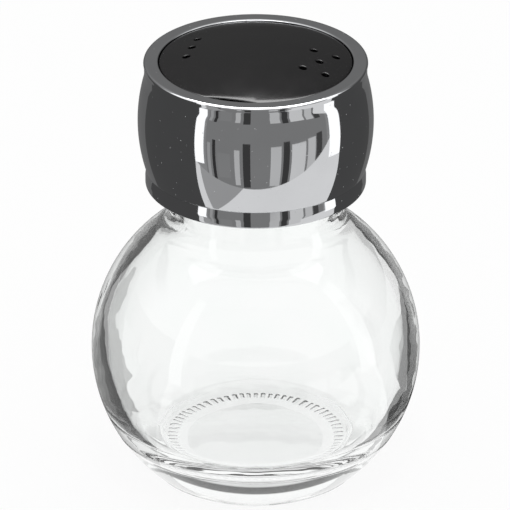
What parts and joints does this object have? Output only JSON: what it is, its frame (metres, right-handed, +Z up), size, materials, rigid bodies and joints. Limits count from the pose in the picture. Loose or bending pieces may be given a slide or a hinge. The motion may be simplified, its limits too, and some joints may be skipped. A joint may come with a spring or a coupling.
{
  "type": "salt shaker",
  "caption": "Clear glass ball shaker with a bright barrel-shaped screw cap and a black domed dial that turns between two groups of pour holes.",
  "frame": {"origin": "middle of the foot, on the table", "axes": "+Z up along the axis of the jar, the thread and the dial; -Y is the front"},
  "size_m": [0.065, 0.065, 0.0911],
  "materials": {
    "clear_glass": "clear, polished",
    "silicone": "matt",
    "insert_plastic": "moulded, fine grain",
    "bright_steel": "mirror polished",
    "dial_plastic": "high gloss",
    "spring_steel": "plain rolled"
  },
  "bodies": {
    "jar": {"glass_jar": "clear_glass"},
    "seal": {"sealing_ring": "silicone"},
    "cap": {"threaded_insert": "insert_plastic", "cap_sleeve": "bright_steel"},
    "dial": {"pour_dial": "dial_plastic", "dial_spring": "spring_steel", "dial_clip": "spring_steel"}
  },
  "joints": [
    {"name": "cap_lift", "type": "slide", "parent": "jar", "child": "seal", "axis": [0, 0, 1], "range_m": [0, 0.006]},
    {"name": "cap_turn", "type": "hinge", "parent": "seal", "child": "cap", "pos_m": [0, 0, 0.0743], "axis": [0, 0, 1], "range_deg": [0, 540]},
    {"name": "dial_turn", "type": "hinge", "parent": "cap", "child": "dial", "pos_m": [0, 0, 0.0864], "axis": [0, 0, 1], "range_deg": [-90, 90]}
  ],
  "couplings": [
    {"joint": "cap_lift", "follows": "cap_turn", "m_per_rad": 0.00063662}
  ]
}
